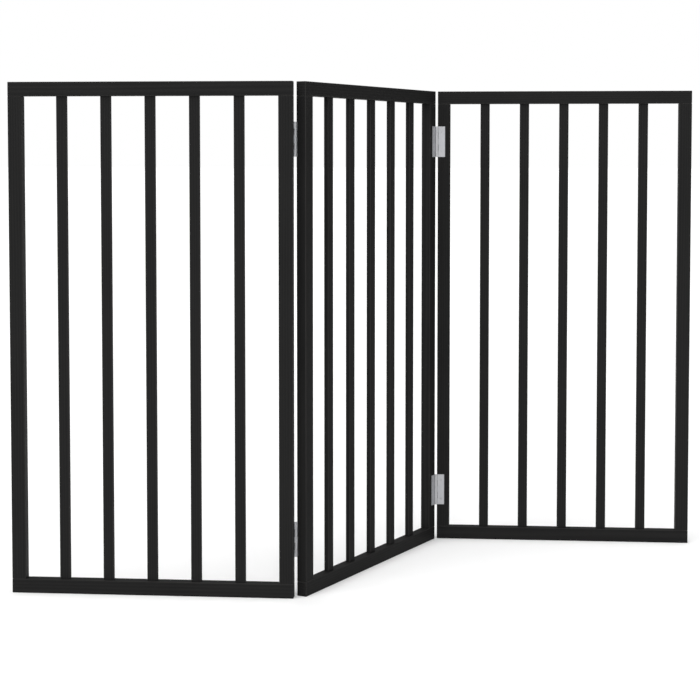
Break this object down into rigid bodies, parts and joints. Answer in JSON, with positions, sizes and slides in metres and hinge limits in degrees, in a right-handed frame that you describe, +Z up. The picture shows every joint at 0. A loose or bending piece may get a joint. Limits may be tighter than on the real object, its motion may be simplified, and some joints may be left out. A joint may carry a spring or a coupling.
{
  "type": "pet gate",
  "caption": "Free-standing folding pet gate: slatted black wooden panels in a Z, joined by steel butt hinges.",
  "frame": {"origin": "on the floor, midway across the middle panel, which is the centre of the Z-shaped footprint", "axes": "+X to the right along the two outer panels, +Y from the front towards the back, +Z up"},
  "size_m": [0.989, 0.3902, 0.72],
  "materials": {
    "painted_wood": "satin black paint on wood",
    "hinge_steel": "zinc-plated pressed steel",
    "screw_steel": "zinc-plated steel"
  },
  "bodies": {
    "middle_panel": {"left_lower_hinge_middle_leaf": "hinge_steel", "left_lower_hinge_middle_screw_high": "screw_steel", "left_lower_hinge_middle_screw_low": "screw_steel", "left_upper_hinge_middle_leaf": "hinge_steel", "left_upper_hinge_middle_screw_high": "screw_steel", "left_upper_hinge_middle_screw_low": "screw_steel", "middle_panel_bar_1": "painted_wood", "middle_panel_bar_2": "painted_wood", "middle_panel_bar_3": "painted_wood", "middle_panel_bar_4": "painted_wood", "middle_panel_bar_5": "painted_wood", "middle_panel_bottom_rail": "painted_wood", "middle_panel_left_stile": "painted_wood", "middle_panel_right_stile": "painted_wood", "middle_panel_top_rail": "painted_wood", "right_lower_hinge_middle_leaf": "hinge_steel", "right_lower_hinge_middle_screw_high": "screw_steel", "right_lower_hinge_middle_screw_low": "screw_steel", "right_upper_hinge_middle_leaf": "hinge_steel", "right_upper_hinge_middle_screw_high": "screw_steel", "right_upper_hinge_middle_screw_low": "screw_steel"},
    "left_panel": {"left_lower_hinge_outer_leaf": "hinge_steel", "left_lower_hinge_outer_screw_high": "screw_steel", "left_lower_hinge_outer_screw_low": "screw_steel", "left_lower_hinge_pin": "hinge_steel", "left_panel_bar_1": "painted_wood", "left_panel_bar_2": "painted_wood", "left_panel_bar_3": "painted_wood", "left_panel_bar_4": "painted_wood", "left_panel_bar_5": "painted_wood", "left_panel_bottom_rail": "painted_wood", "left_panel_free_stile": "painted_wood", "left_panel_hinge_stile": "painted_wood", "left_panel_top_rail": "painted_wood", "left_upper_hinge_outer_leaf": "hinge_steel", "left_upper_hinge_outer_screw_high": "screw_steel", "left_upper_hinge_outer_screw_low": "screw_steel", "left_upper_hinge_pin": "hinge_steel"},
    "right_panel": {"right_lower_hinge_outer_leaf": "hinge_steel", "right_lower_hinge_outer_screw_high": "screw_steel", "right_lower_hinge_outer_screw_low": "screw_steel", "right_lower_hinge_pin": "hinge_steel", "right_panel_bar_1": "painted_wood", "right_panel_bar_2": "painted_wood", "right_panel_bar_3": "painted_wood", "right_panel_bar_4": "painted_wood", "right_panel_bar_5": "painted_wood", "right_panel_bottom_rail": "painted_wood", "right_panel_free_stile": "painted_wood", "right_panel_hinge_stile": "painted_wood", "right_panel_top_rail": "painted_wood", "right_upper_hinge_outer_leaf": "hinge_steel", "right_upper_hinge_outer_screw_high": "screw_steel", "right_upper_hinge_outer_screw_low": "screw_steel", "right_upper_hinge_pin": "hinge_steel"}
  },
  "joints": [
    {"name": "left_fold", "type": "hinge", "parent": "middle_panel", "child": "left_panel", "pos_m": [-0.09304, -0.17894, 0.36], "axis": [0, 0, 1], "range_deg": [-115, 65]},
    {"name": "right_fold", "type": "hinge", "parent": "middle_panel", "child": "right_panel", "pos_m": [0.09304, 0.17894, 0.36], "axis": [0, 0, 1], "range_deg": [-115, 65]}
  ]
}
